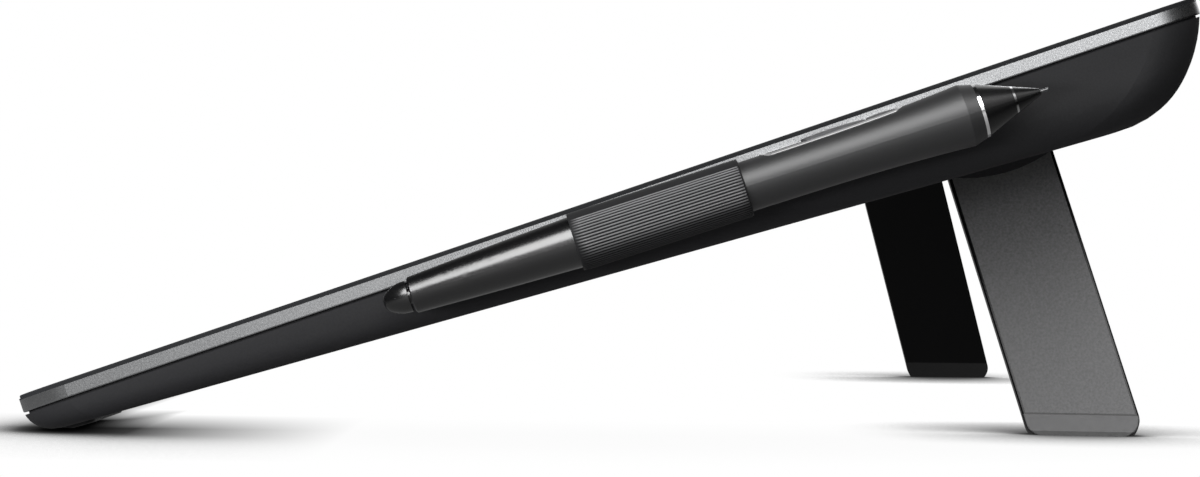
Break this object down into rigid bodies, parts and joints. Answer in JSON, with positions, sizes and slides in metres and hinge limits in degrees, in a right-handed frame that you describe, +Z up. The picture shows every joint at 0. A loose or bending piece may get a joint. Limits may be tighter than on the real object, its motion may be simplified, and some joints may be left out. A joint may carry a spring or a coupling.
{
  "type": "graphics tablet with screen",
  "caption": "Pen display with a wedge-shaped rear cover, standing on fold-out legs, with a cordless pen held in an elastic loop on its side.",
  "frame": {"origin": "middle of the bounding box, on the desk", "axes": "+X to the user's right, along the hinge-free long side; +Y away from the user; +Z up from the desk. The drawing surface slopes up towards +Y."},
  "size_m": [0.4382, 0.2714, 0.1031],
  "materials": {
    "cover_plastic": "fine matt moulded grain",
    "band_metal": "bead-blasted metallic grey",
    "panel_glass": "etched dark cover glass",
    "display_glass": "display stack",
    "light_guide": "light guide",
    "circuit_board": "solder resist",
    "shield_metal": "plain sheet",
    "steel": "turned",
    "contact_metal": "plated contacts",
    "foot_rubber": "smooth dark rubber",
    "leg_black": "polished black",
    "leg_texture": "fine spark-eroded texture",
    "leg_rubber": "smooth grey rubber",
    "loop_fabric": "ribbed elastic tape",
    "inner_plastic": "plain moulded",
    "pen_gloss": "polished black",
    "pen_grip_rubber": "matt soft-touch",
    "pen_chrome": "bright plated",
    "switch_grey": "satin",
    "nib_grey": "plain",
    "light_lens": "clear lens"
  },
  "bodies": {
    "tablet": {"front_panel": "panel_glass", "front_frame": "band_metal", "display_panel": "display_glass", "backlight_unit": "light_guide", "sensor_board": "circuit_board", "shield_plate": "shield_metal", "main_board": "circuit_board", "cable_port": "steel", "port_contacts": "contact_metal", "rear_cover": "cover_plastic", "cover_screws": "steel", "status_light": "light_lens", "power_switch": "circuit_board", "lock_slot_insert": "steel", "pen_loop_anchor": "inner_plastic", "pen_loop": "loop_fabric", "spare_nibs": "nib_grey", "nib_puller": "steel", "front_foot_right": "foot_rubber", "rear_pad_right": "foot_rubber", "leg_hinge_pin_right": "steel", "leg_detent_spring_right": "steel", "front_foot_left": "foot_rubber", "rear_pad_left": "foot_rubber", "leg_hinge_pin_left": "steel", "leg_detent_spring_left": "steel"},
    "leg_right": {"leg_plate_right": "leg_black", "leg_skin_right": "leg_texture", "leg_foot_right": "leg_rubber"},
    "leg_left": {"leg_plate_left": "leg_black", "leg_skin_left": "leg_texture", "leg_foot_left": "leg_rubber"},
    "pen": {"pen_barrel": "pen_gloss", "pen_grip": "pen_grip_rubber", "pen_ring": "pen_chrome", "pen_cone": "pen_gloss", "pen_cone_ring": "pen_chrome", "pen_core": "inner_plastic", "pen_switch_trim": "pen_chrome"},
    "pen_switch": {"pen_switch": "switch_grey"},
    "pen_nib": {"pen_nib": "nib_grey"},
    "pen_eraser": {"pen_eraser": "pen_gloss"},
    "power_button": {"power_button": "cover_plastic"}
  },
  "joints": [
    {"name": "leg_right_fold", "type": "hinge", "parent": "tablet", "child": "leg_right", "pos_m": [0.13396, 0.09538, 0.06782], "axis": [0, 0.9594, 0.282], "range_deg": [0, 107.1]},
    {"name": "leg_left_fold", "type": "hinge", "parent": "tablet", "child": "leg_left", "pos_m": [-0.15005, 0.09538, 0.06782], "axis": [0, -0.9594, -0.282], "range_deg": [0, 107.1]},
    {"name": "pen_slide", "type": "slide", "parent": "tablet", "child": "pen", "axis": [0, 0.9472, 0.3208], "range_m": [0, 0.09]},
    {"name": "pen_switch_rock", "type": "hinge", "parent": "pen", "child": "pen_switch", "pos_m": [0.21196, 0.0576, 0.07118], "axis": [1, 0, 0], "range_deg": [-2, 2], "stiffness_Nm_per_rad": 0.15},
    {"name": "pen_nib_press", "type": "slide", "parent": "pen", "child": "pen_nib", "axis": [0, -0.9472, -0.3208], "range_m": [0, 0.0005], "stiffness_N_per_m": 1000},
    {"name": "pen_eraser_press", "type": "slide", "parent": "pen", "child": "pen_eraser", "axis": [0, 0.9472, 0.3208], "range_m": [0, 0.0005], "stiffness_N_per_m": 1000},
    {"name": "power_button_press", "type": "slide", "parent": "tablet", "child": "power_button", "axis": [0, -0.9426, -0.3338], "range_m": [0, 0.0005], "stiffness_N_per_m": 800}
  ]
}
